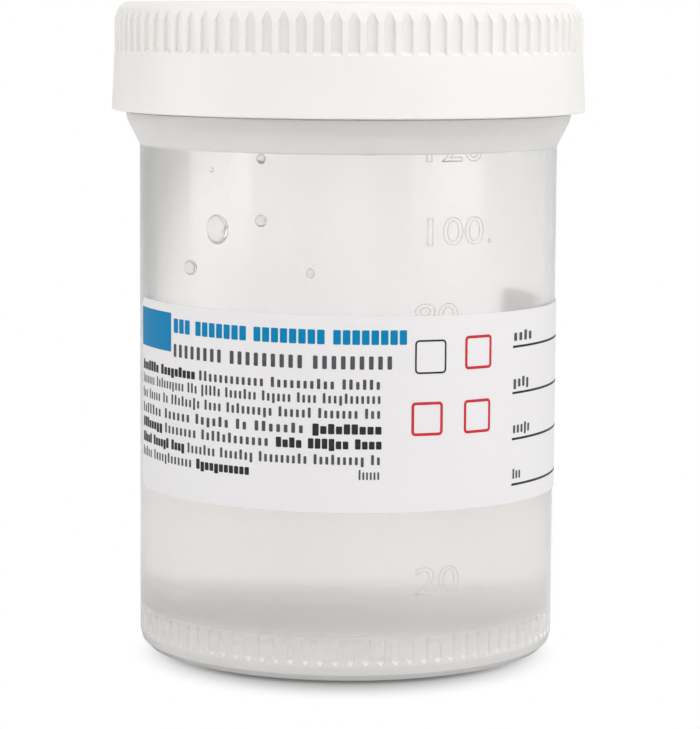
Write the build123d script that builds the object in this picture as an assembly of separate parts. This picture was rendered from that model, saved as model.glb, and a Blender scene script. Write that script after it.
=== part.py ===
from build123d import *
import math
import os

# Prefilled specimen container: a clear screw-neck cup with a band label, its liquid,
# a sealing disc and a ribbed screw cap. Millimetres, +Z up, base centred on the origin,
# middle of the printed side towards -Y. Heights are measured from the surface it stands on.

# Cup body
BODY_RADIUS = 26.22
WALL = 1.4
FLOOR_TOP = 2.0
FOOT_CORNER = 2.05
FLOOR_CORNER = 1.3
FOOT_RING_WIDTH = 5.72
RECESS_DEPTH = 0.5
RECESS_BEVEL = 0.5

# Screw neck, the ring under it and the shoulder
RIM_HEIGHT = 78.7
RIM_BEVEL = 0.3
NECK_HEIGHT = 10.5
NECK_STEP = 0.78
NECK_WALL = 1.15
RING_STEP = 0.95
RING_BEVEL = 0.6
SHOULDER_HEIGHT = 4.65
SHOULDER_SLOPE_DEG = 26.6
SHOULDER_BLEND = 1.6

# Ribs round the foot, left standing between shallow flutes that end in points above the corner
FOOT_RIB_COUNT = 90
FOOT_FLUTE_SHARE = 0.574
FOOT_FLUTE_DEPTH = 0.3
FOOT_FLUTE_GAP = 0.05
FOOT_FLUTE_TAPER = 0.6
FOOT_FLUTE_LENGTH = 2.7
FOOT_FLUTE_AZIMUTH = 1.45

# Raised volume marks: the height of each follows from the bore and the millilitres, and the
# lowest sits a little under its place
MARK_FIRST_ML = 20
MARK_LAST_ML = 110
MARK_STEP_ML = 10
MARK_ZERO_RISE = 0.5
MARK_FIRST_DROP = 0.4
MARK_AZIMUTH = 9.9
MARK_LENGTH = 3.4
MARK_WIDTH = 0.28
MARK_RISE = 0.12
MARK_ROOT = 0.3

# Screw thread, shared by the neck and the cap
THREAD_LEAD = 4.2
THREAD_DEPTH = 0.9
THREAD_ROOT_WIDTH = 2.0
THREAD_CREST_WIDTH = 0.8
THREAD_BURY = 0.25
THREAD_FADE_DEPTH = 0.1
THREAD_CLEARANCE = 0.3
THREAD_PLAY = 0.3
THREAD_FADE_DEG = 28.0
SECTION_STEP_DEG = 15.0
NECK_THREAD_RISE = 2.2
NECK_THREAD_TURNS = 1.5
CAP_THREAD_RISE = 1.85
CAP_THREAD_TURNS = 1.25

# Cap
CAP_OVERLAP = 0.35
CAP_WALL = 1.15
CAP_FLARE = 0.37
CAP_SKIRT_HEIGHT = 7.25
CAP_EDGE_BEVEL = 0.15
CAP_MOUTH_BEVEL = 0.5
CAP_TOP_WALL = 1.4
CAP_TOP_CORNER = 2.15
CAP_TOP_CORNER_LEAD_DEG = 42.0

# Ribs round the upper half of the cap, left standing between flutes
CAP_RIB_COUNT = 88
CAP_FLUTE_SHARE = 0.69
CAP_FLUTE_DEPTH = 0.45
CAP_FLUTE_GAP = 0.03
CAP_FLUTE_SLOPE = 0.5
CAP_FLUTE_TIP_DROP = 0.6
CAP_FLUTE_AZIMUTH = 1.25

# Flute cutters, on the cup and on the cap: narrower at the floor, reaching past the surface
FLUTE_DRAFT = 0.125
FLUTE_OVERCUT = 0.9
FLUTE_RUNOUT = 0.06

# Sealing disc in the cap
SEAL_GAP = 0.1
LINER_THICKNESS = 1.0
LINER_RADIUS_GAP = 0.3

# Band label
LABEL_BOTTOM = 20.85
LABEL_HEIGHT = 23.65
LABEL_SKEW_BOTTOM = -0.006
LABEL_SKEW_TOP = -0.011
LABEL_START_AZIMUTH = -75.0
LABEL_END_AZIMUTH = 125.5
LABEL_THICKNESS = 0.12
LABEL_GAP = 0.06
LABEL_CORNER = 1.6
LABEL_TRIM = 1.0

# Liquid that the container is sold with, up to the mark for its volume
LIQUID_ML = 60
LIQUID_GAP = 0.05

# Flats in a quarter turn of a round corner; more make it smoother and every solid heavier
CORNER_FLATS = 3

# Sizes of the cup and neck that follow from the ones above
BORE = BODY_RADIUS - WALL
RECESS_RADIUS = BODY_RADIUS - FOOT_RING_WIDTH
NECK_RADIUS = BODY_RADIUS + NECK_STEP
NECK_BORE = NECK_RADIUS - NECK_WALL
NECK_CREST = NECK_RADIUS + THREAD_DEPTH
RING_RADIUS = NECK_RADIUS + RING_STEP
RING_TOP = RIM_HEIGHT - NECK_HEIGHT
SHOULDER_START = RING_TOP - SHOULDER_HEIGHT
NECK_THREAD_START = RING_TOP + NECK_THREAD_RISE
LABEL_TOP = LABEL_BOTTOM + LABEL_HEIGHT

# Sizes of the cap and disc that follow
CAP_BORE = NECK_CREST + THREAD_CLEARANCE
CAP_RADIUS = CAP_BORE + CAP_WALL
CAP_BOTTOM_RADIUS = CAP_RADIUS + CAP_FLARE
CAP_BOTTOM = RING_TOP - CAP_OVERLAP
CAP_SKIRT_TOP = CAP_BOTTOM + CAP_SKIRT_HEIGHT
CAP_THREAD_START = CAP_BOTTOM + CAP_THREAD_RISE
LINER_BOTTOM = RIM_HEIGHT + SEAL_GAP
LINER_TOP = LINER_BOTTOM + LINER_THICKNESS
CAP_CEILING = LINER_TOP + SEAL_GAP
CAP_TOP = CAP_CEILING + CAP_TOP_WALL
CAP_STRAIGHT_TOP = CAP_TOP - CAP_TOP_CORNER


def ring_point(radius, azimuth, height):
    """A point by radius and azimuth, which runs from the front (-Y) towards +X."""
    angle = math.radians(azimuth)
    return Vector(radius * math.sin(angle), -radius * math.cos(angle), height)


def rounded(centre_radius, centre_height, radius, start_deg, turn_deg):
    """Points of a round corner in a half section, as flats."""
    flats = max(1, round(CORNER_FLATS * abs(turn_deg) / 90))
    angles = [math.radians(start_deg + turn_deg * number / flats) for number in range(flats + 1)]
    return [
        (centre_radius + radius * math.cos(angle), centre_height + radius * math.sin(angle))
        for angle in angles
    ]


def turned(half_section):
    """Solid of revolution about Z from the (radius, height) points of its half section."""
    return revolve(Plane.XZ * make_face(Polyline(*half_section, close=True)), axis=Axis.Z)


def flat_face(*points):
    """A flat face by its corners."""
    return make_face(Polyline(*points, close=True))


def flute(azimuth, surface, width, depth, stations):
    """Cutter for one flute: a flat-sided solid that runs from station to station to a point.

    Width is at the surface. A station is a height and how far out of the surface the floor
    lies there; the last station is the point.
    """
    flank = FLUTE_DRAFT / depth
    across = ring_point(1, azimuth + 90, 0)
    rings = []
    for height, floor in stations[:-1]:
        corners = [(floor, -1), (FLUTE_OVERCUT, -1), (FLUTE_OVERCUT, 1), (floor, 1)]
        rings.append([
            ring_point(surface + out, azimuth, height) + across * side * (width / 2 + out * flank)
            for out, side in corners
        ])
    tip_height, tip_out = stations[-1]
    tip = ring_point(surface + tip_out, azimuth, tip_height)
    faces = [flat_face(*rings[0])]
    for near, far in zip(rings, rings[1:]):
        faces += [flat_face(near[i - 1], near[i], far[i], far[i - 1]) for i in range(len(near))]
    faces += [flat_face(rings[-1][i - 1], rings[-1][i], tip) for i in range(len(rings[-1]))]
    return Solid(Shell(faces))


def cut_flutes(solid, count, first_azimuth, surface, share, depth, stations):
    """Cuts equal flutes all round, each a share of the pitch, and so leaves ribs between them."""
    width = share * 2 * math.pi * surface / count
    azimuths = [first_azimuth + 360 / count * number for number in range(count)]
    return solid - [flute(azimuth, surface, width, depth, stations) for azimuth in azimuths]


def helical_bead(wall_radius, crest_radius, start_height, start_azimuth, turns):
    """Screw thread bead with a trapezoid section that fades into its wall at both ends."""
    outward = math.copysign(1, crest_radius - wall_radius)
    buried = wall_radius - outward * THREAD_BURY
    faded = wall_radius - outward * THREAD_FADE_DEPTH
    root_half = THREAD_ROOT_WIDTH / 2
    crest_half = THREAD_CREST_WIDTH / 2
    total = turns * 360
    count = math.ceil(total / SECTION_STEP_DEG)
    sections = []
    for number in range(count + 1):
        along = total * number / count
        fade = min(1, along / THREAD_FADE_DEG, (total - along) / THREAD_FADE_DEG)
        crest = faded + (crest_radius - faded) * math.sin(fade * math.pi / 2) ** 2
        height = start_height + THREAD_LEAD * along / 360
        azimuth = start_azimuth + along
        corners = [
            ring_point(buried, azimuth, height - root_half),
            ring_point(crest, azimuth, height - crest_half),
            ring_point(crest, azimuth, height + crest_half),
            ring_point(buried, azimuth, height + root_half),
        ]
        sections.append(Wire.make_polygon(corners, close=True))
    return Solid.make_loft(sections)


def cup_half_section():
    """Foot, wall, shoulder, neck and rim; the wall keeps its thickness up to the neck."""
    slope = math.radians(SHOULDER_SLOPE_DEG)
    blend = RING_RADIUS - SHOULDER_BLEND
    slope_top = SHOULDER_START + (blend + SHOULDER_BLEND * math.cos(slope) - BODY_RADIUS) / math.tan(slope)
    blend_top = slope_top + SHOULDER_BLEND * math.sin(slope)
    inner_start = SHOULDER_START + WALL * (1 / math.cos(slope) - 1) / math.tan(slope)
    inner_top = inner_start + (NECK_BORE - BORE) / math.tan(slope)
    return [
        (0, RECESS_DEPTH),
        (RECESS_RADIUS - RECESS_BEVEL, RECESS_DEPTH),
        (RECESS_RADIUS, 0),
        *rounded(BODY_RADIUS - FOOT_CORNER, FOOT_CORNER, FOOT_CORNER, -90, 90),
        (BODY_RADIUS, SHOULDER_START),
        *rounded(blend, blend_top, SHOULDER_BLEND, -SHOULDER_SLOPE_DEG, SHOULDER_SLOPE_DEG),
        (RING_RADIUS, RING_TOP - RING_BEVEL),
        (NECK_RADIUS, RING_TOP),
        (NECK_RADIUS, RIM_HEIGHT - RIM_BEVEL),
        (NECK_RADIUS - RIM_BEVEL, RIM_HEIGHT),
        (NECK_BORE + RIM_BEVEL, RIM_HEIGHT),
        (NECK_BORE, RIM_HEIGHT - RIM_BEVEL),
        (NECK_BORE, inner_top),
        (BORE, inner_start),
        *rounded(BORE - FLOOR_CORNER, FLOOR_TOP + FLOOR_CORNER, FLOOR_CORNER, 0, -90),
        (0, FLOOR_TOP),
    ]


def fill_height(millilitres):
    """Height up to which a volume fills the bore."""
    return FLOOR_TOP + MARK_ZERO_RISE + millilitres * 1000 / (math.pi * BORE**2)


def volume_mark(height):
    """One raised tick of the scale, moulded on the outer wall."""
    half_angle = math.degrees(MARK_LENGTH / 2 / BODY_RADIUS)
    bar = Rectangle(MARK_ROOT + MARK_RISE, MARK_WIDTH)
    section = Plane.XZ * Pos(BODY_RADIUS + (MARK_RISE - MARK_ROOT) / 2, height) * bar
    tick = revolve(section, axis=Axis.Z, revolution_arc=2 * half_angle)
    return Rot(0, 0, MARK_AZIMUTH - 90 - half_angle) * tick


def volume_marks():
    """The ticks on the straight wall that the label leaves bare."""
    margin = LABEL_TRIM + MARK_WIDTH
    millilitres = range(MARK_FIRST_ML, MARK_LAST_ML + 1, MARK_STEP_ML)
    heights = [fill_height(amount) for amount in millilitres]
    heights[0] -= MARK_FIRST_DROP
    bare = [height for height in heights if not LABEL_BOTTOM - margin < height < LABEL_TOP + margin]
    return [volume_mark(height) for height in bare if height < SHOULDER_START - margin]


def foot_ribs(cup):
    """Low ribs that stiffen the foot; the flutes between them run out to points below."""
    tip = FOOT_CORNER + FOOT_FLUTE_GAP
    bottom = tip + FOOT_FLUTE_TAPER
    stations = [
        (bottom + FOOT_FLUTE_LENGTH, -FOOT_FLUTE_DEPTH),
        (bottom, -FOOT_FLUTE_DEPTH),
        (tip, FLUTE_RUNOUT),
    ]
    pattern = (FOOT_RIB_COUNT, FOOT_FLUTE_AZIMUTH, BODY_RADIUS, FOOT_FLUTE_SHARE, FOOT_FLUTE_DEPTH)
    return cut_flutes(cup, *pattern, stations)


def container():
    """The moulded cup with its neck thread, scale ticks and foot ribs."""
    cup = foot_ribs(turned(cup_half_section()))
    thread = helical_bead(NECK_RADIUS, NECK_CREST, NECK_THREAD_START, 0, NECK_THREAD_TURNS)
    return cup + thread + volume_marks()


def cap_half_section():
    """The cap before its ribs and thread are made; the flutes end on the corner's first flat."""
    edge = CAP_BOTTOM_RADIUS - CAP_EDGE_BEVEL
    corner = (CAP_RADIUS - CAP_TOP_CORNER, CAP_STRAIGHT_TOP, CAP_TOP_CORNER)
    lead = CAP_TOP_CORNER_LEAD_DEG
    return [
        (CAP_BORE + CAP_MOUTH_BEVEL, CAP_BOTTOM),
        (edge, CAP_BOTTOM),
        (CAP_BOTTOM_RADIUS, CAP_BOTTOM + CAP_EDGE_BEVEL),
        (CAP_RADIUS, CAP_SKIRT_TOP),
        (CAP_RADIUS, CAP_STRAIGHT_TOP),
        *rounded(*corner, lead, 90 - lead),
        (0, CAP_TOP),
        (0, CAP_CEILING),
        (CAP_BORE, CAP_CEILING),
        (CAP_BORE, CAP_BOTTOM + CAP_MOUTH_BEVEL),
    ]


def cap_ribs(cap):
    """Grip ribs; the flutes between them slope in above the skirt and end in points at the top."""
    bottom = CAP_SKIRT_TOP + CAP_FLUTE_GAP
    stations = [
        (bottom, FLUTE_RUNOUT),
        (bottom + CAP_FLUTE_SLOPE, -CAP_FLUTE_DEPTH),
        (CAP_STRAIGHT_TOP, -CAP_FLUTE_DEPTH),
        (CAP_TOP - CAP_FLUTE_TIP_DROP, -CAP_FLUTE_DEPTH),
    ]
    pattern = (CAP_RIB_COUNT, CAP_FLUTE_AZIMUTH, CAP_RADIUS, CAP_FLUTE_SHARE, CAP_FLUTE_DEPTH)
    return cut_flutes(cap, *pattern, stations)


def thread_drop():
    """How far the middle of the cap's thread lies under that of the neck's, with some free play."""
    flank = (THREAD_ROOT_WIDTH - THREAD_CREST_WIDTH) / 2
    touching = THREAD_ROOT_WIDTH - flank * (1 + THREAD_CLEARANCE / THREAD_DEPTH)
    return touching + THREAD_PLAY


def screw_cap():
    """The moulded cap with its ribs and the thread that runs under the neck's thread."""
    cap = cap_ribs(turned(cap_half_section()))
    rise = CAP_THREAD_START - (NECK_THREAD_START - thread_drop())
    azimuth = 360 * rise / THREAD_LEAD
    crest = CAP_BORE - THREAD_DEPTH
    return cap + helical_bead(CAP_BORE, crest, CAP_THREAD_START, azimuth, CAP_THREAD_TURNS)


def cap_liner():
    """The sealing disc that the cap presses on the rim."""
    disc = Cylinder(CAP_BORE - LINER_RADIUS_GAP, LINER_THICKNESS)
    return Pos(0, 0, (LINER_BOTTOM + LINER_TOP) / 2) * disc


def label():
    """The band label: a thin round shell, cut a little out of true, with round corners."""
    inner = BODY_RADIUS + LABEL_GAP
    low = LABEL_BOTTOM - LABEL_TRIM
    high = LABEL_TOP + LABEL_TRIM
    section = Pos(inner + LABEL_THICKNESS / 2, (low + high) / 2) * Rectangle(LABEL_THICKNESS, high - low)
    sweep_deg = LABEL_END_AZIMUTH - LABEL_START_AZIMUTH
    band = revolve(Plane.XZ * section, axis=Axis.Z, revolution_arc=sweep_deg)
    band = Rot(0, 0, LABEL_START_AZIMUTH - 90) * band
    top = Plane(origin=(0, 0, LABEL_TOP), z_dir=(-LABEL_SKEW_TOP, 0, 1))
    bottom = Plane(origin=(0, 0, LABEL_BOTTOM), z_dir=(-LABEL_SKEW_BOTTOM, 0, 1))
    band = split(band, bisect_by=top, keep=Keep.BOTTOM)
    band = split(band, bisect_by=bottom, keep=Keep.TOP)
    corners = [edge for edge in band.edges() if edge.length < 2 * LABEL_THICKNESS]
    return fillet(corners, LABEL_CORNER)


def liquid():
    """The liquid as one still body that fills the cup up to its level."""
    radius = BORE - LIQUID_GAP
    bottom = FLOOR_TOP + LIQUID_GAP
    level = fill_height(LIQUID_ML)
    return turned([
        (0, bottom),
        *rounded(radius - FLOOR_CORNER, bottom + FLOOR_CORNER, FLOOR_CORNER, -90, 90),
        (radius, level),
        (0, level),
    ])


PIECES = {
    "container": container,
    "screw_cap": screw_cap,
    "cap_liner": cap_liner,
    "label": label,
    "liquid": liquid,
}

os.makedirs("parts", exist_ok=True)
for name, build in PIECES.items():
    piece = build()
    export_step(piece, f"parts/{name}.step")
    print(name, round(piece.volume, 2), piece.is_valid)
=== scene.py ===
import math
import random

import bmesh
import bpy
from mathutils import Matrix, Vector


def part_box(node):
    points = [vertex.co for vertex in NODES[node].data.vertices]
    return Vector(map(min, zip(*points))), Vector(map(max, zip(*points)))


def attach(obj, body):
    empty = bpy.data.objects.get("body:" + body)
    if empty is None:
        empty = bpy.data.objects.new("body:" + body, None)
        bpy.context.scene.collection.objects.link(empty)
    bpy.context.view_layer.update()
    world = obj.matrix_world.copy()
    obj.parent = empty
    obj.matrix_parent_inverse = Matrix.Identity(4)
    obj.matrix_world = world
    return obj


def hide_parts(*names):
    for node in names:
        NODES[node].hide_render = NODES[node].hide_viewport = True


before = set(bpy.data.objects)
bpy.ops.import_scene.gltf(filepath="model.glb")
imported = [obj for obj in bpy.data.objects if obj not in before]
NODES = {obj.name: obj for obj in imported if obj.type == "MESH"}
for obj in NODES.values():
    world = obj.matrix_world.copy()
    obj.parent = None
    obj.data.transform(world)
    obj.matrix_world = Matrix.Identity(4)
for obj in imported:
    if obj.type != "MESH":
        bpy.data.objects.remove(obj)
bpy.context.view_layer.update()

bl_info = {
    "name": "Specimen container",
    "version": (1, 0, 0),
    "blender": (4, 5, 0),
    "location": "3D View > Sidebar > Specimen",
    "description": "Finishes a prefilled specimen container: clear cup, liquid, label and ribbed cap",
    "category": "Object",
}

MM = 0.001

# Sizes of the CAD solids that the pieces made here sit on, in millimetres
WALL_RADIUS = 26.22
BORE = 24.82
FLOOR_TOP = 2.0
FLOOR_CORNER = 1.3
LIQUID_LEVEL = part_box("liquid")[1].z / MM
LABEL_FACE = 26.40
LABEL_SKEW = -0.0085

# The printed rows were measured on a slightly larger cup; this brings them to this one
PRINT_SCALE = 0.994


# Sizes and colours that a user would change


class PrintSettings(bpy.types.PropertyGroup):
    """Colours, as sRGB hex codes, and sizes of the label's print."""

    field_ink: bpy.props.StringProperty(
        name="Field ink", description="Colour of the field and the heading", default="007DB0")
    field_ink_thin: bpy.props.StringProperty(
        name="Field ink where thin", description="The same ink where it lies thinner", default="0485B6")
    box_ink: bpy.props.StringProperty(
        name="Box ink", description="Colour of three of the tick boxes", default="C62D38")
    box_ink_thin: bpy.props.StringProperty(
        name="Box ink where thin", description="The same ink where it lies thinner", default="CE3842")
    block_share: bpy.props.FloatProperty(
        name="Block share", description="Share of the pitch that a block takes",
        default=0.8, min=0.2, max=1, subtype="FACTOR")
    film: bpy.props.FloatProperty(
        name="Ink thickness", description="Thickness of the print, in millimetres",
        default=0.012, min=0.002, max=0.1)


class PlasticSettings(bpy.types.PropertyGroup):
    """Look of the moulded plastic; colours are sRGB hex codes."""

    cap_colour: bpy.props.StringProperty(
        name="Cap colour", description="Colour of the screw cap", default="EFECE9")
    cap_colour_pale: bpy.props.StringProperty(
        name="Cap colour, pale", description="Colour of its paler flow patches", default="F3F0ED")
    clarity: bpy.props.FloatProperty(
        name="Clarity", description="Share of light that the cup's wall lets through",
        default=0.89, min=0, max=1, subtype="FACTOR")
    thick_clarity: bpy.props.FloatProperty(
        name="Clarity where thick",
        description="Share of light that the shoulder and the foot let through",
        default=0.4, min=0, max=1, subtype="FACTOR")
    blur: bpy.props.FloatProperty(
        name="Blur", description="Roughness of the cup's wall",
        default=0.11, min=0, max=1, subtype="FACTOR")
    droplet_height: bpy.props.FloatProperty(
        name="Droplet height", description="Height of a droplet over its width",
        default=0.32, min=0.05, max=1, subtype="FACTOR")


class StageSettings(bpy.types.PropertyGroup):
    """Light and camera."""

    world_level: bpy.props.FloatProperty(
        name="Surrounding light", description="Strength of the light from all round",
        default=0.85, min=0, max=2)
    top_power: bpy.props.FloatProperty(
        name="Top softbox", description="Power of the softbox overhead",
        default=0.7, min=0, max=50, unit="POWER")
    side_power: bpy.props.FloatProperty(
        name="Side softboxes", description="Power of the softbox on the left",
        default=1.4, min=0, max=50, unit="POWER")
    camera_height: bpy.props.FloatProperty(
        name="Camera height", description="Height of the camera over the floor",
        default=0.0827, min=0, max=1, unit="LENGTH")
    camera_distance: bpy.props.FloatProperty(
        name="Camera distance", description="Distance from the axis of the cup",
        default=0.3948, min=0.1, max=5, unit="LENGTH")


# Small tools


def linear(code, alpha=1.0):
    """Linear colour from an sRGB hex code such as 0F86B0."""
    channels = [int(code[i:i + 2], 16) / 255 for i in (0, 2, 4)]
    return (*[c / 12.92 if c <= 0.04045 else ((c + 0.055) / 1.055) ** 2.4 for c in channels], alpha)


def add(tree, kind, inputs=None, **settings):
    """Adds a node; inputs maps a socket's name or number to a value or to the socket it links from."""
    node = tree.nodes.new(kind)
    for name, value in settings.items():
        setattr(node, name, value)
    for name, value in (inputs or {}).items():
        if isinstance(value, bpy.types.NodeSocket):
            tree.links.new(value, node.inputs[name])
        else:
            node.inputs[name].default_value = value
    return node


def new_material(name):
    """An empty node material: its tree, its output and Object coordinates."""
    material = bpy.data.materials.new(name)
    material.use_nodes = True
    tree = material.node_tree
    tree.nodes.clear()
    output = add(tree, "ShaderNodeOutputMaterial")
    place = add(tree, "ShaderNodeTexCoord").outputs["Object"]
    return material, tree, output, place


def noise(tree, place, size_mm, detail=2.0, stretch=(1, 1, 1)):
    """Noise whose grains are about size_mm wide."""
    scaled = add(tree, "ShaderNodeMapping", {"Vector": place, "Scale": stretch}).outputs[0]
    pattern = add(tree, "ShaderNodeTexNoise", {
        "Vector": scaled, "Scale": 1 / (size_mm * MM), "Detail": detail})
    return pattern.outputs["Fac"]


def blend_colours(tree, factor, low, high):
    """Colour between two hex codes by a factor."""
    ramp = add(tree, "ShaderNodeValToRGB", {"Fac": factor})
    ramp.color_ramp.elements[0].color = linear(low)
    ramp.color_ramp.elements[1].color = linear(high)
    ramp.color_ramp.elements[0].position = 0.3
    ramp.color_ramp.elements[1].position = 0.7
    return ramp.outputs["Color"]


def finish_piece(bm, name, material, body):
    """Makes the piece from its bmesh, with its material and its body."""
    mesh = bpy.data.meshes.new(name)
    bm.to_mesh(mesh)
    bm.free()
    piece = bpy.data.objects.new(name, mesh)
    bpy.context.scene.collection.objects.link(piece)
    mesh.materials.append(material)
    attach(piece, body)
    return piece


def dress(node, material):
    """Gives a CAD node its material."""
    slots = NODES[node].data.materials
    slots.clear()
    slots.append(material)


def wrap(verts, radius, skew=0.0):
    """Bends flat geometry (x along the arc, z up, y outwards) round the cup's axis, front at -Y."""
    for vert in verts:
        angle = vert.co.x / (radius * MM)
        out = radius * MM - vert.co.y
        rise = vert.co.z + skew * radius * MM * math.sin(angle)
        vert.co = Vector((out * math.sin(angle), -out * math.cos(angle), rise))


# Materials


# Heights in millimetres over which the haze of the thick shoulder and of the thick foot sets in
SHOULDER_HAZE = (63.4, 63.7)
FOOT_HAZE = (6.5, 2.5)
MILK_SHARE = 0.15


def lit_through(tree, shader, share, output):
    """Lets lamp light through the piece, so that what is inside or behind it isn't in the dark."""
    path = add(tree, "ShaderNodeLightPath")
    passing = add(tree, "ShaderNodeBsdfTransparent", {"Color": (share, share, share, 1)})
    lit = add(tree, "ShaderNodeMixShader", {
        0: path.outputs["Is Shadow Ray"], 1: shader.outputs[0], 2: passing.outputs[0]})
    tree.links.new(lit.outputs[0], output.inputs["Surface"])


def moulded_polypropylene_clear(settings):
    """Natural polypropylene, injection moulded: clear with a faint milky haze and a slight blur."""
    material, tree, output, place = new_material("moulded_polypropylene_clear")
    flow = noise(tree, place, 9, stretch=(1, 1, 0.25))
    grain = noise(tree, place, 0.35)
    height = add(tree, "ShaderNodeSeparateXYZ", {0: place}).outputs["Z"]
    shoulder, foot = [
        add(tree, "ShaderNodeMapRange", {
            "Value": height, "From Min": thin * MM, "From Max": full * MM}).outputs[0]
        for thin, full in (SHOULDER_HAZE, FOOT_HAZE)]
    thick = add(tree, "ShaderNodeMath", {0: shoulder, 1: foot}, operation="MAXIMUM").outputs[0]
    shader = add(tree, "ShaderNodeBsdfPrincipled", {
        "Base Color": blend_colours(tree, flow, "FAF9F8", "FDFCFB"),
        "Roughness": add(tree, "ShaderNodeMapRange", {
            "Value": thick, "To Min": settings.blur, "To Max": settings.blur * 2}).outputs[0],
        "IOR": 1.49,
        "Transmission Weight": add(tree, "ShaderNodeMapRange", {
            "Value": thick, "To Min": settings.clarity, "To Max": settings.thick_clarity}).outputs[0],
        "Normal": add(tree, "ShaderNodeBump", {
            "Height": grain, "Distance": 0.004 * MM, "Strength": 0.25}).outputs[0],
    })
    milk = add(tree, "ShaderNodeBsdfTranslucent", {"Color": linear("FBF9F6")})
    share = add(tree, "ShaderNodeMath", {0: thick, 1: MILK_SHARE}, operation="MULTIPLY").outputs[0]
    milky = add(tree, "ShaderNodeMixShader", {0: share, 1: shader.outputs[0], 2: milk.outputs[0]})
    lit_through(tree, milky, 0.97, output)
    return material


def moulded_polypropylene_white(settings):
    """Lightly pigmented polypropylene, injection moulded satin: light sinks in and softens the ribs."""
    material, tree, output, place = new_material("moulded_polypropylene_white")
    flow = noise(tree, place, 12)
    grain = noise(tree, place, 0.3, detail=3)
    shader = add(tree, "ShaderNodeBsdfPrincipled", {
        "Base Color": blend_colours(tree, flow, settings.cap_colour, settings.cap_colour_pale),
        "Roughness": add(tree, "ShaderNodeMapRange", {
            "Value": flow, "To Min": 0.34, "To Max": 0.42}).outputs[0],
        "IOR": 1.49,
        "Subsurface Weight": 0.35,
        "Subsurface Radius": (1.0, 0.98, 0.95),
        "Subsurface Scale": 1.2 * MM,
        "Normal": add(tree, "ShaderNodeBump", {
            "Height": grain, "Distance": 0.006 * MM, "Strength": 0.3}).outputs[0],
    })
    tree.links.new(shader.outputs[0], output.inputs["Surface"])
    return material


def foamed_polyethylene():
    """Closed-cell polyethylene foam, die cut: matte white with a fine skin of cells."""
    material, tree, output, place = new_material("foamed_polyethylene")
    cell_mm = 0.45
    cells = add(tree, "ShaderNodeTexVoronoi", {
        "Vector": place, "Scale": 1 / (cell_mm * MM)}).outputs["Distance"]
    shader = add(tree, "ShaderNodeBsdfPrincipled", {
        "Base Color": blend_colours(tree, cells, "F2F2F0", "E9E9E6"),
        "Roughness": 0.7,
        "Normal": add(tree, "ShaderNodeBump", {
            "Height": cells, "Distance": 0.03 * MM, "Strength": 0.5}).outputs[0],
    })
    tree.links.new(shader.outputs[0], output.inputs["Surface"])
    return material


def coated_label_film():
    """White polypropylene label film, coated: smooth and cool white, and a little light comes through."""
    material, tree, output, place = new_material("coated_label_film")
    waves = noise(tree, place, 14)
    shader = add(tree, "ShaderNodeBsdfPrincipled", {
        "Base Color": blend_colours(tree, waves, "F9F7F8", "FBF9FA"),
        "Roughness": add(tree, "ShaderNodeMapRange", {
            "Value": waves, "To Min": 0.32, "To Max": 0.4}).outputs[0],
        "Normal": add(tree, "ShaderNodeBump", {
            "Height": waves, "Distance": 0.02 * MM, "Strength": 0.3}).outputs[0],
    })
    through = add(tree, "ShaderNodeBsdfTranslucent", {"Color": linear("F4F2EF")})
    film = add(tree, "ShaderNodeMixShader", {0: 0.18, 1: shader.outputs[0], 2: through.outputs[0]})
    tree.links.new(film.outputs[0], output.inputs["Surface"])
    return material


def printing_ink(name, dark, light):
    """Flexographic ink on film: a thin satin layer, a little uneven in strength."""
    material, tree, output, place = new_material(name)
    spread = noise(tree, place, 0.5, detail=3)
    shader = add(tree, "ShaderNodeBsdfPrincipled", {
        "Base Color": blend_colours(tree, spread, dark, light),
        "Roughness": add(tree, "ShaderNodeMapRange", {
            "Value": spread, "To Min": 0.4, "To Max": 0.55}).outputs[0],
        "Specular IOR Level": 0.1,
    })
    tree.links.new(shader.outputs[0], output.inputs["Surface"])
    return material


def clear_fixative():
    """Clear watery liquid: no colour of its own, bends light like water."""
    material, tree, output, place = new_material("clear_fixative")
    depth = noise(tree, place, 20)
    shader = add(tree, "ShaderNodeBsdfPrincipled", {
        "Base Color": blend_colours(tree, depth, "F4F4F2", "F6F5F4"),
        "Roughness": 0.0,
        "IOR": 1.34,
        "Transmission Weight": 1.0,
    })
    lit_through(tree, shader, 0.99, output)
    return material


# Print


# Width in millimetres of the flats in which the print bends round the cup
FACET = 1.2


def flat_bar(bm, s0, s1, z0, z1, corner):
    """One rounded bar of the print, flat in X and Z, in millimetres."""
    size = Matrix.Diagonal(((s1 - s0) * MM, (z1 - z0) * MM, 1, 1))
    centre = Matrix.Translation(((s0 + s1) / 2 * MM, 0, (z0 + z1) / 2 * MM))
    place = centre @ Matrix.Rotation(math.pi / 2, 4, "X") @ size
    made = bmesh.ops.create_grid(bm, x_segments=1, y_segments=1, size=0.5, matrix=place)
    reach = min(corner, 0.48 * (s1 - s0), 0.48 * (z1 - z0)) * MM
    rounded = bmesh.ops.bevel(
        bm, geom=made["verts"], offset=reach, offset_type="OFFSET", segments=3,
        profile=0.5, affect="VERTICES", material=-1)
    return rounded["verts"][0].link_faces[0]


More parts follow.
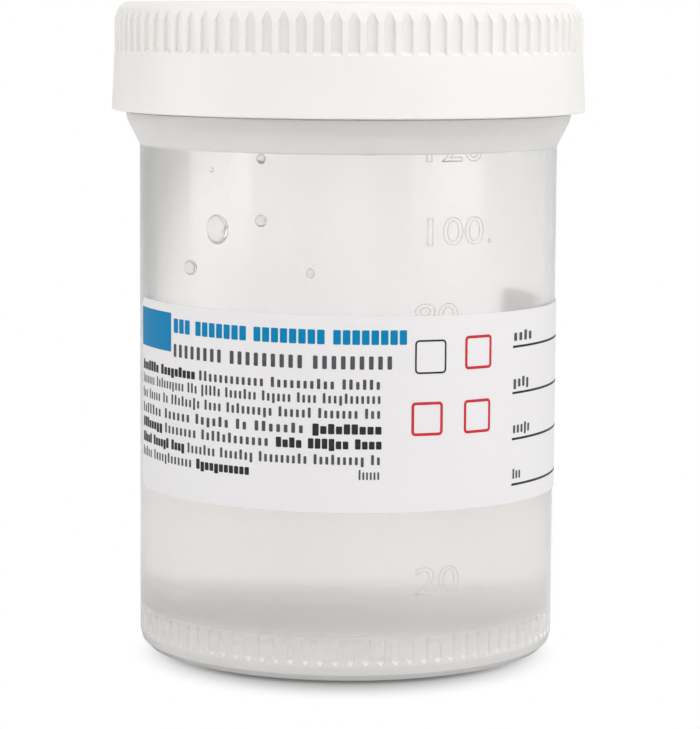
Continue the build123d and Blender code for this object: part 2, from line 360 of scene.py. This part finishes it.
def print_piece(bm, name, material, settings):
    """Cuts the flat print so that it can bend, gives it thickness and wraps it on the label."""
    spans = [vert.co.x for vert in bm.verts]
    step = FACET * MM
    for number in range(math.ceil(min(spans) / step), math.floor(max(spans) / step) + 1):
        geometry = [*bm.verts, *bm.edges, *bm.faces]
        bmesh.ops.bisect_plane(
            bm, geom=geometry, plane_co=(number * step, 0, 0), plane_no=(1, 0, 0), dist=1e-8)
    for vert in bm.verts:
        vert.co *= PRINT_SCALE
    bmesh.ops.recalc_face_normals(bm, faces=bm.faces)
    if bm.faces[:][0].normal.y > 0:
        bmesh.ops.reverse_faces(bm, faces=bm.faces)
    grown = bmesh.ops.extrude_face_region(bm, geom=bm.faces[:])
    top = [item for item in grown["geom"] if isinstance(item, bmesh.types.BMVert)]
    for vert in top:
        vert.co.y -= settings.film * MM
    bmesh.ops.recalc_face_normals(bm, faces=bm.faces)
    wrap(bm.verts, LABEL_FACE, LABEL_SKEW)
    bmesh.ops.recalc_face_normals(bm, faces=bm.faces)
    return finish_piece(bm, name, material, "cup")


# Gap between words, as a share of the pitch of the blocks
WORD_GAP = 0.7
SMALL_WORD_GAP = 0.75


def word_blocks(bm, centre, height, start, end, words, share, chance, tall=0.0):
    """A row of words as rows of small blocks, no letters; words is the number of blocks in each."""
    pitch = (end - start) / (sum(words) + WORD_GAP * (len(words) - 1))
    at = start
    for count in words:
        for number in range(count):
            up = tall * height if chance.random() < 0.3 else 0
            down = tall * height if chance.random() < 0.12 else 0
            width = pitch * share
            flat_bar(bm, at, at + width, centre - height / 2 - down, centre + height / 2 + up, 0.14)
            at += pitch
        at += WORD_GAP * pitch


# Rows of small print: centre height, start, end, and the blocks of each word; a minus marks bold
PARAGRAPH = (
    (36.4, -34.0, 4.4, (-7, -9, 12, 10, 6)),
    (34.7, -34.0, 4.4, (7, 10, 3, 5, 7, 6, 4, 11)),
    (32.9, -34.0, 4.4, (3, 5, 2, 8, 4, 9, 6, 7, 3)),
    (31.0, -34.0, 4.4, (7, 6, 6, 2, 7, -9)),
    (29.2, -34.0, 4.4, (-8, 8, 12, -4, -6, -4)),
    (27.3, -34.0, 4.4, (-5, -6, -4, 7, 7, 9, 9, 2)),
    (25.5, -34.0, -12.0, (5, 12, -11)),
    (25.5, 1.5, 4.2, (6,)),
)
X_HEIGHT = 0.95


def paragraph_rows(bm, bold, settings):
    """The blocks of the small rows that are bold, or those that aren't."""
    chance = random.Random(7)
    for centre, start, end, words in PARAGRAPH:
        pitch = (end - start) / (sum(map(abs, words)) + SMALL_WORD_GAP * (len(words) - 1))
        at = start
        for count in words:
            for number in range(abs(count)):
                up = 0.3 * X_HEIGHT if chance.random() < 0.15 or number == 0 else 0
                down = 0.25 * X_HEIGHT if chance.random() < 0.06 else 0
                share = settings.block_share * (1.0 if count < 0 else 0.62)
                if (count < 0) == bold:
                    low = centre - X_HEIGHT / 2 - down
                    flat_bar(bm, at, at + pitch * share, low, centre + X_HEIGHT / 2 + up, 0.12)
                at += pitch
            at += SMALL_WORD_GAP * pitch


# Tick boxes: place along the arc and height of the centre, and the side
TICK_BOXES = ((10.35, 39.8), (17.1, 40.1), (9.95, 32.3), (17.0, 32.3))
TICK_BOX_SIDE = 4.1
DARK_LINE = 0.22
RED_LINE = 0.35

# Write-on rules and the small captions over them: start, end, low and high, number of blocks
RULE_START = 23.1
RULE_END = 54.0
RULE_HEIGHTS = (40.3, 34.6, 28.9, 23.25)
RULE_WIDTH = 0.28
CAPTIONS = (
    (23.3, 27.7, 41.0, 42.2, 4), (23.3, 27.0, 35.3, 36.5, 4),
    (23.3, 27.3, 29.6, 30.8, 5), (23.3, 25.2, 23.9, 25.2, 3),
)


def box_outline(bm, centre, side, line):
    """A rounded square outline."""
    s, z = centre
    whole = flat_bar(bm, s - side / 2, s + side / 2, z - side / 2, z + side / 2, 0.5)
    bmesh.ops.inset_individual(bm, faces=[whole], thickness=line * MM, use_even_offset=True)
    bmesh.ops.delete(bm, geom=[whole], context="FACES")


# Operators, one for each piece or group of like pieces


class SPECIMEN_OT_cup(bpy.types.Operator):
    """Gives the moulded cup its clear plastic"""

    bl_idname = "specimen.cup"
    bl_label = "Cup"

    def execute(self, context):
        material = moulded_polypropylene_clear(context.scene.specimen_plastic)
        dress("container", material)
        return {"FINISHED"}


class SPECIMEN_OT_cap(bpy.types.Operator):
    """Gives the screw cap its satin white plastic"""

    bl_idname = "specimen.cap"
    bl_label = "Screw cap"

    def execute(self, context):
        dress("screw_cap", moulded_polypropylene_white(context.scene.specimen_plastic))
        return {"FINISHED"}


class SPECIMEN_OT_disc(bpy.types.Operator):
    """Gives the sealing disc its foam"""

    bl_idname = "specimen.disc"
    bl_label = "Sealing disc"

    def execute(self, context):
        dress("cap_liner", foamed_polyethylene())
        return {"FINISHED"}


# How far the liquid reaches into the plastic, so that no air shows between them, and its meniscus
WETTING = 0.02
MENISCUS_CLIMB = 1.3
MENISCUS_REACH = 2.6
MENISCUS_STEEPNESS = 3.2
MENISCUS_STEPS = 10
CORNER_STEPS = 8
LIQUID_SEGMENTS = 160


class SPECIMEN_OT_liquid(bpy.types.Operator):
    """Makes the liquid with its meniscus, wetting the wall"""

    bl_idname = "specimen.liquid"
    bl_label = "Liquid"

    def execute(self, context):
        radius = BORE + WETTING
        bottom = FLOOR_TOP - WETTING
        profile = [(0, bottom)]
        corner = FLOOR_CORNER + WETTING
        for number in range(CORNER_STEPS + 1):
            angle = math.pi / 2 * (number / CORNER_STEPS - 1)
            out = radius - corner + corner * math.cos(angle)
            profile.append((out, bottom + corner + corner * math.sin(angle)))
        profile.append((radius, LIQUID_LEVEL + MENISCUS_CLIMB))
        for number in range(1, MENISCUS_STEPS + 1):
            part = number / MENISCUS_STEPS
            rise = MENISCUS_CLIMB * math.exp(-MENISCUS_STEEPNESS * part) * (1 - part)
            profile.append((radius - MENISCUS_REACH * part, LIQUID_LEVEL + rise))
        profile.append((0, LIQUID_LEVEL))
        bm = bmesh.new()
        verts = [bm.verts.new((out * MM, 0, height * MM)) for out, height in profile]
        edges = [bm.edges.new(pair) for pair in zip(verts, verts[1:])]
        bmesh.ops.spin(bm, geom=verts + edges, cent=(0, 0, 0), axis=(0, 0, 1), angle=math.tau,
                       steps=LIQUID_SEGMENTS, use_merge=True)
        bmesh.ops.remove_doubles(bm, verts=bm.verts, dist=1e-7)
        bmesh.ops.recalc_face_normals(bm, faces=bm.faces)
        for face in bm.faces:
            face.smooth = True
        for edge in bm.edges:
            edge.smooth = edge.calc_face_angle(0) < math.radians(40)
        piece = finish_piece(bm, "liquid_with_meniscus", clear_fixative(), "cup")
        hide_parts("liquid")
        return {"FINISHED"}


class SPECIMEN_OT_label(bpy.types.Operator):
    """Gives the band label its coated film"""

    bl_idname = "specimen.label"
    bl_label = "Label"

    def execute(self, context):
        dress("label", coated_label_film())
        return {"FINISHED"}


class SPECIMEN_OT_print(bpy.types.Operator):
    """Prints the label: colour field, rows of blocks, tick boxes and write-on rules"""

    bl_idname = "specimen.print"
    bl_label = "Print"

    def execute(self, context):
        settings = context.scene.specimen_print
        teal = printing_ink("teal_ink", settings.field_ink, settings.field_ink_thin)
        dark = printing_ink("dark_ink", "2A292D", "38373B")
        grey = printing_ink("thin_dark_ink", "4E4D52", "5C5B60")
        red = printing_ink("red_ink", settings.box_ink, settings.box_ink_thin)
        chance = random.Random(3)

        bm = bmesh.new()
        flat_bar(bm, -34.5, -25.2, 38.9, 43.7, 0.15)
        print_piece(bm, "print_colour_field", teal, settings)

        bm = bmesh.new()
        word_blocks(bm, 42.2, 1.75, -24.6, 7.5, (3, 7, 8, 8), settings.block_share, chance)
        print_piece(bm, "print_heading", teal, settings)

        bm = bmesh.new()
        word_blocks(bm, 39.15, 1.6, -24.6, 6.0, (8, 9, 9), 0.62 * settings.block_share, chance)
        print_piece(bm, "print_second_row", grey, settings)

        bm = bmesh.new()
        paragraph_rows(bm, True, settings)
        print_piece(bm, "print_bold_rows", dark, settings)
        bm = bmesh.new()
        paragraph_rows(bm, False, settings)
        print_piece(bm, "print_small_rows", grey, settings)

        bm = bmesh.new()
        box_outline(bm, TICK_BOXES[0], TICK_BOX_SIDE, DARK_LINE)
        print_piece(bm, "print_dark_box", dark, settings)
        bm = bmesh.new()
        for centre in TICK_BOXES[1:]:
            box_outline(bm, centre, TICK_BOX_SIDE, RED_LINE)
        print_piece(bm, "print_red_boxes", red, settings)

        bm = bmesh.new()
        for height in RULE_HEIGHTS:
            flat_bar(bm, RULE_START, RULE_END, height - RULE_WIDTH / 2, height + RULE_WIDTH / 2, 0.05)
        print_piece(bm, "print_rules", dark, settings)
        bm = bmesh.new()
        for start, end, low, high, count in CAPTIONS:
            word_blocks(bm, (low + high) / 2 - 0.1, 1.0, start, end, (count,),
                        0.7 * settings.block_share, chance, 0.25)
        print_piece(bm, "print_captions", grey, settings)
        return {"FINISHED"}


# Numerals of the scale, each with its place along the arc and its height; then their form
NUMERALS = (("120", 13.0, 64.5), ("100", 13.2, 54.5), ("80", 11.1, 44.2), ("20", 11.5, 12.2))
NUMERAL_HEIGHT = 3.3
NUMERAL_STRETCH = 1.3
DIGIT_SHARE = 0.7
NUMERAL_LINE_RADIUS = 0.07
NUMERAL_SINK = 0.02


class SPECIMEN_OT_numerals(bpy.types.Operator):
    """Raises the numerals of the volume scale on the wall"""

    bl_idname = "specimen.numerals"
    bl_label = "Scale numerals"

    def execute(self, context):
        material = bpy.data.materials["moulded_polypropylene_clear"]
        for text, s, z in NUMERALS:
            curve = bpy.data.curves.new("numeral", "FONT")
            curve.body = text
            curve.align_x = "CENTER"
            curve.align_y = "CENTER"
            curve.size = NUMERAL_HEIGHT / DIGIT_SHARE * MM
            curve.fill_mode = "NONE"
            curve.bevel_depth = NUMERAL_LINE_RADIUS * MM
            curve.resolution_u = 4
            curve.bevel_resolution = 2
            holder = bpy.data.objects.new("numeral", curve)
            bpy.context.scene.collection.objects.link(holder)
            bpy.context.view_layer.update()
            mesh = bpy.data.meshes.new_from_object(holder)
            bpy.data.objects.remove(holder)
            bm = bmesh.new()
            bm.from_mesh(mesh)
            bpy.data.meshes.remove(mesh)
            for vert in bm.verts:
                across = vert.co.x * NUMERAL_STRETCH + s * PRINT_SCALE * MM
                vert.co = Vector((across, -vert.co.z, vert.co.y + z * PRINT_SCALE * MM))
            wrap(bm.verts, WALL_RADIUS - NUMERAL_SINK)
            for face in bm.faces:
                face.smooth = True
            finish_piece(bm, f"scale_numeral_{text}", material, "cup")
        return {"FINISHED"}


# Droplets: place along the arc, height over the floor, width and height
DROPLETS = (
    (2.6, 64.7, 2.1, 1.8), (-17.6, 54.5, 3.2, 3.6), (-11.1, 55.8, 1.5, 1.5), (-22.3, 49.6, 2.2, 1.8),
    (-4.6, 49.7, 1.0, 1.2), (-11.1, 63.2, 1.2, 1.2), (-18.5, 61.7, 0.7, 0.7), (19.5, 53.3, 0.6, 0.6),
)
DROPLET_SINK = 0.015


class SPECIMEN_OT_droplets(bpy.types.Operator):
    """Sets droplets of condensation on the inside of the wall above the liquid"""

    bl_idname = "specimen.droplets"
    bl_label = "Droplets"

    def execute(self, context):
        settings = context.scene.specimen_plastic
        bm = bmesh.new()
        for s, z, width, height in DROPLETS:
            part = bmesh.new()
            bmesh.ops.create_uvsphere(part, u_segments=32, v_segments=20, radius=0.5 * MM)
            bmesh.ops.bisect_plane(part, geom=[*part.verts, *part.edges, *part.faces], plane_co=(0, 0, 0),
                                   plane_no=(0, -1, 0), clear_outer=True, dist=1e-9)
            rim = [edge for edge in part.edges if edge.is_boundary]
            bmesh.ops.holes_fill(part, edges=rim)
            depth = 2 * settings.droplet_height * min(width, height)
            for vert in part.verts:
                vert.co = Vector((vert.co.x * width + s * PRINT_SCALE * BORE / WALL_RADIUS * MM,
                                  vert.co.y * depth, vert.co.z * height + z * PRINT_SCALE * MM))
            wrap(part.verts, BORE + DROPLET_SINK)
            bmesh.ops.recalc_face_normals(part, faces=part.faces)
            for face in part.faces:
                face.smooth = len(face.verts) < 5
            mesh = bpy.data.meshes.new("droplet")
            part.to_mesh(mesh)
            part.free()
            bm.from_mesh(mesh)
            bpy.data.meshes.remove(mesh)
        for edge in bm.edges:
            edge.smooth = edge.calc_face_angle(0) < math.radians(40)
        material = bpy.data.materials["clear_fixative"]
        finish_piece(bm, "condensation_droplets", material, "cup")
        return {"FINISHED"}


# Shadow at the foot: how far it reaches in millimetres, and the tone of the paper in it and out of it
SHADOW_REACH = 12
SHADOW_TONE = 0.25
PAPER_TONE = 0.9

# Oval past which the paper shows pure white: its soft edge in millimetres, its shift to the front
# and how much narrower it is than deep
OVAL_INNER = 19
OVAL_OUTER = 30
OVAL_FORWARD = 6
OVAL_NARROWING = 1.1

# Where the white paper that shows through the cup ends on the left, and its level past that edge
PAPER_EDGE = (-110, -220)
PAST_EDGE = 0.3

# Light that comes from round about: axis, where it starts and stops to change, and its two levels
BACKDROP_BEHIND = ("Y", -0.2, 0.6, 0.6, 1.0)
BACKDROP_LEFT = ("X", -0.15, -0.45, 1.0, 0.65)

# Softboxes: azimuth from the front in degrees, distance, height and side in metres, power and share
SOFTBOXES = (
    ("top_softbox", 30, 0.22, 0.55, 0.25, "top_power", 1.0),
    ("left_softbox", -74, 0.7, 0.15, 0.55, "side_power", 1.0),
    ("right_softbox", 56, 0.7, 0.15, 0.55, "side_power", 0.55),
)
AIM = (0, 0, 0.04)

# Camera: lens in millimetres, tilts in radians, and its place a little to the right in millimetres
LENS = 154.55
CAMERA_PITCH = 0.1188
CAMERA_ROLL = -0.0064
EYE_ASIDE = 0.38


class SPECIMEN_OT_stage(bpy.types.Operator):
    """Sets up the floor, the light and the camera"""

    bl_idname = "specimen.stage"
    bl_label = "Floor, light and camera"

    def execute(self, context):
        settings = context.scene.specimen_stage
        self.floor()
        self.light(settings)
        self.camera(settings)
        return {"FINISHED"}

    def floor(self):
        bm = bmesh.new()
        bmesh.ops.create_grid(bm, x_segments=2, y_segments=2, size=3.0)
        mesh = bpy.data.meshes.new("floor")
        bm.to_mesh(mesh)
        bm.free()
        floor = bpy.data.objects.new("floor", mesh)
        bpy.context.scene.collection.objects.link(floor)
        material, tree, output, place = new_material("studio_paper_white")
        path = add(tree, "ShaderNodeLightPath")
        camera_ray, through_ray = path.outputs["Is Camera Ray"], path.outputs["Is Transmission Ray"]
        open_air = add(tree, "ShaderNodeAmbientOcclusion", {"Distance": SHADOW_REACH * MM}, samples=8)
        lit = add(tree, "ShaderNodeMath", {0: open_air.outputs["AO"], 1: 2.0}, operation="POWER").outputs[0]
        tone = add(tree, "ShaderNodeMix", {
            "Factor": lit, "A": SHADOW_TONE, "B": PAPER_TONE}, data_type="FLOAT")
        paper = add(tree, "ShaderNodeBsdfDiffuse", {"Color": tone.outputs[0]})
        oval = add(tree, "ShaderNodeMapping", {
            "Vector": place, "Location": (0, OVAL_FORWARD * MM, 0),
            "Scale": (OVAL_NARROWING, 1, 0)}).outputs[0]
        away = add(tree, "ShaderNodeVectorMath", {0: oval}, operation="LENGTH").outputs["Value"]
        outside = add(tree, "ShaderNodeMapRange", {
            "Value": away, "From Min": OVAL_INNER * MM, "From Max": OVAL_OUTER * MM},
            interpolation_type="SMOOTHSTEP").outputs[0]
        direct = add(tree, "ShaderNodeMath", {0: outside, 1: camera_ray}, operation="MULTIPLY").outputs[0]
        bright = add(tree, "ShaderNodeMath", {0: direct, 1: through_ray}, operation="MAXIMUM").outputs[0]
        side = add(tree, "ShaderNodeSeparateXYZ", {0: place}).outputs["X"]
        left = add(tree, "ShaderNodeMapRange", {
            "Value": side, "From Min": PAPER_EDGE[0] * MM, "From Max": PAPER_EDGE[1] * MM,
            "To Min": 1.0, "To Max": PAST_EDGE}, interpolation_type="SMOOTHSTEP").outputs[0]
        level = add(tree, "ShaderNodeMath", {0: left, 1: camera_ray}, operation="MAXIMUM").outputs[0]
        white = add(tree, "ShaderNodeEmission", {"Color": (1, 1, 1, 1), "Strength": level})
        mixed = add(tree, "ShaderNodeMixShader", {0: bright, 1: paper.outputs[0], 2: white.outputs[0]})
        tree.links.new(mixed.outputs[0], output.inputs["Surface"])
        mesh.materials.append(material)

    def light(self, settings):
        world = bpy.data.worlds.new("studio")
        world.use_nodes = True
        bpy.context.scene.world = world
        tree = world.node_tree
        tree.nodes.clear()
        path = add(tree, "ShaderNodeLightPath")
        camera_ray, through_ray = path.outputs["Is Camera Ray"], path.outputs["Is Transmission Ray"]
        seen = add(tree, "ShaderNodeMath", {0: camera_ray, 1: through_ray}, operation="MAXIMUM").outputs[0]
        way = add(tree, "ShaderNodeTexCoord").outputs["Generated"]
        parts = add(tree, "ShaderNodeSeparateXYZ", {0: way})
        back, flag = [
            add(tree, "ShaderNodeMapRange", {
                "Value": parts.outputs[axis], "From Min": start, "From Max": end,
                "To Min": low, "To Max": high},
                interpolation_type="SMOOTHSTEP").outputs[0]
            for axis, start, end, low, high in (BACKDROP_BEHIND, BACKDROP_LEFT)]
        through = add(tree, "ShaderNodeMath", {0: back, 1: flag}, operation="MINIMUM").outputs[0]
        clear = add(tree, "ShaderNodeMath", {0: through, 1: camera_ray}, operation="MAXIMUM").outputs[0]
        around = add(tree, "ShaderNodeMath", {
            0: flag, 1: settings.world_level}, operation="MULTIPLY").outputs[0]
        level = add(tree, "ShaderNodeMix", {"Factor": seen, "A": around, "B": clear}, data_type="FLOAT")
        background = add(tree, "ShaderNodeBackground", {
            "Color": (1, 1, 1, 1), "Strength": level.outputs[0]})
        output = add(tree, "ShaderNodeOutputWorld")
        tree.links.new(background.outputs[0], output.inputs["Surface"])
        for name, azimuth, reach, height, size, power, share in SOFTBOXES:
            angle = math.radians(azimuth)
            at = Vector((reach * math.sin(angle), -reach * math.cos(angle), height))
            data = bpy.data.lights.new(name, "AREA")
            data.size = size
            data.energy = share * getattr(settings, power)
            lamp = bpy.data.objects.new(name, data)
            bpy.context.scene.collection.objects.link(lamp)
            lamp.location = at
            lamp.rotation_euler = (Vector(AIM) - at).to_track_quat("-Z", "Y").to_euler()

    def camera(self, settings):
        data = bpy.data.cameras.new("camera")
        data.sensor_width = 36
        data.lens = LENS
        data.clip_start = 0.01
        camera = bpy.data.objects.new("camera", data)
        bpy.context.scene.collection.objects.link(camera)
        forward = Vector((0, math.cos(CAMERA_PITCH), -math.sin(CAMERA_PITCH)))
        down = Vector((0, -math.sin(CAMERA_PITCH), -math.cos(CAMERA_PITCH)))
        right = Vector((1, 0, 0))
        across = right * math.cos(CAMERA_ROLL) + down * math.sin(CAMERA_ROLL)
        below = down * math.cos(CAMERA_ROLL) - right * math.sin(CAMERA_ROLL)
        turn = Matrix((across, -below, -forward)).transposed()
        eye = Vector((EYE_ASIDE * MM, -settings.camera_distance, settings.camera_height))
        camera.matrix_world = Matrix.Translation(eye) @ turn.to_4x4()
        bpy.context.scene.camera = camera
        bpy.context.scene.view_settings.view_transform = "Standard"


class SPECIMEN_PT_panel(bpy.types.Panel):
    """Lists the container's pieces"""

    bl_idname = "SPECIMEN_PT_panel"
    bl_label = "Specimen container"
    bl_space_type = "VIEW_3D"
    bl_region_type = "UI"
    bl_category = "Specimen"

    def draw(self, context):
        for operator in OPERATORS:
            self.layout.operator(operator.bl_idname)


SETTINGS = {
    "specimen_print": PrintSettings,
    "specimen_plastic": PlasticSettings,
    "specimen_stage": StageSettings,
}
OPERATORS = (
    SPECIMEN_OT_stage,
    SPECIMEN_OT_cup,
    SPECIMEN_OT_cap,
    SPECIMEN_OT_disc,
    SPECIMEN_OT_liquid,
    SPECIMEN_OT_label,
    SPECIMEN_OT_print,
    SPECIMEN_OT_numerals,
    SPECIMEN_OT_droplets,
)


def register():
    for group in (*SETTINGS.values(), *OPERATORS, SPECIMEN_PT_panel):
        bpy.utils.register_class(group)
    for name, group in SETTINGS.items():
        setattr(bpy.types.Scene, name, bpy.props.PointerProperty(type=group))


def unregister():
    for name in SETTINGS:
        delattr(bpy.types.Scene, name)
    for group in (SPECIMEN_PT_panel, *reversed(OPERATORS), *SETTINGS.values()):
        bpy.utils.unregister_class(group)


def main():
    register()
    for operator in OPERATORS:
        group, name = operator.bl_idname.split(".")
        getattr(getattr(bpy.ops, group), name)()


if __name__ == "__main__":
    main()
